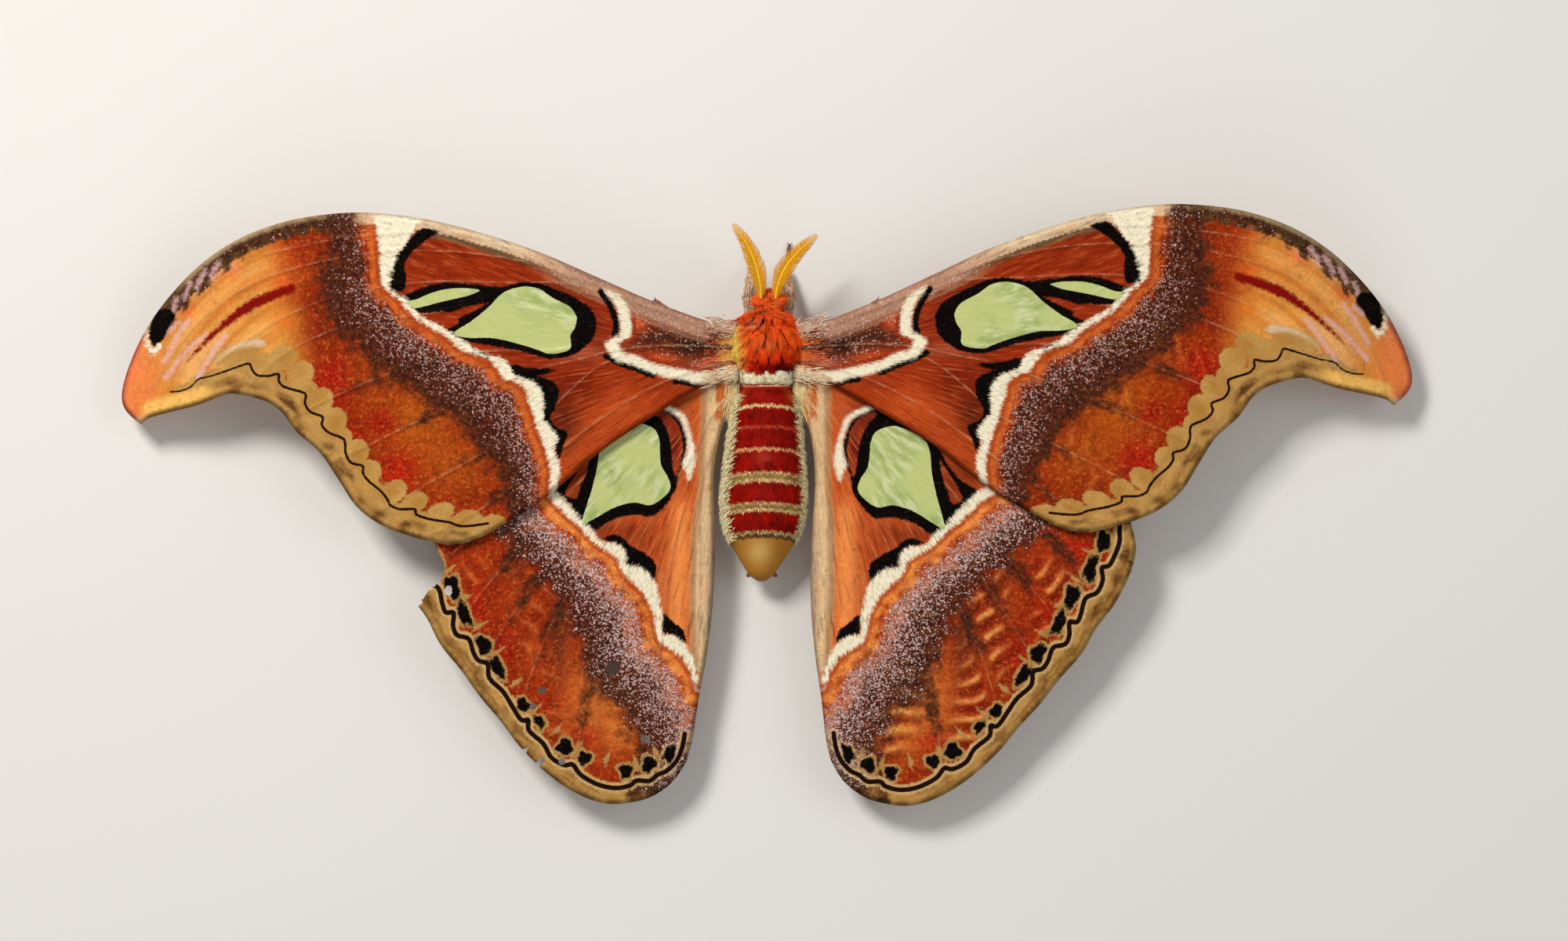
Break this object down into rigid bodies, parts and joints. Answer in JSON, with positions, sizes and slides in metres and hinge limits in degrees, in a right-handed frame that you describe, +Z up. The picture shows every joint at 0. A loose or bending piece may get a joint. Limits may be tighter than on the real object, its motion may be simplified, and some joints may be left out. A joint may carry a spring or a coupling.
{
  "type": "moth",
  "caption": "Life-size still model of an atlas moth with spread patterned wings, combed antennae and a stout furry body.",
  "frame": {"origin": "middle of the whole moth's box, on the floor under the feet and belly", "axes": "+Y the way the head points, +X to the moth's right, +Z up from the floor"},
  "size_m": [0.2342, 0.1084, 0.0161],
  "materials": {
    "thorax_fur": "dense orange-red fur",
    "head_fur": "short orange-red fur",
    "abdomen_rings": "deep red plush with cream rings and an ochre tail",
    "eye": "glossy black-brown, faceted",
    "antenna": "golden yellow combs",
    "fore_wing": "scaled wing, rust to gold with white lines and pale windows",
    "hind_wing": "scaled wing, rust to gold with white lines and pale windows",
    "leg_fur": "pinkish tan short fur"
  },
  "bodies": {
    "root": {"thorax": "thorax_fur", "abdomen": "abdomen_rings", "head": "head_fur", "eye_left": "eye", "antenna_left": "antenna", "forewing_left": "fore_wing", "hindwing_left": "hind_wing", "foreleg_left": "leg_fur", "midleg_left": "leg_fur", "hindleg_left": "leg_fur", "eye_right": "eye", "antenna_right": "antenna", "forewing_right": "fore_wing", "hindwing_right": "hind_wing", "foreleg_right": "leg_fur", "midleg_right": "leg_fur", "hindleg_right": "leg_fur"}
  },
  "joints": []
}
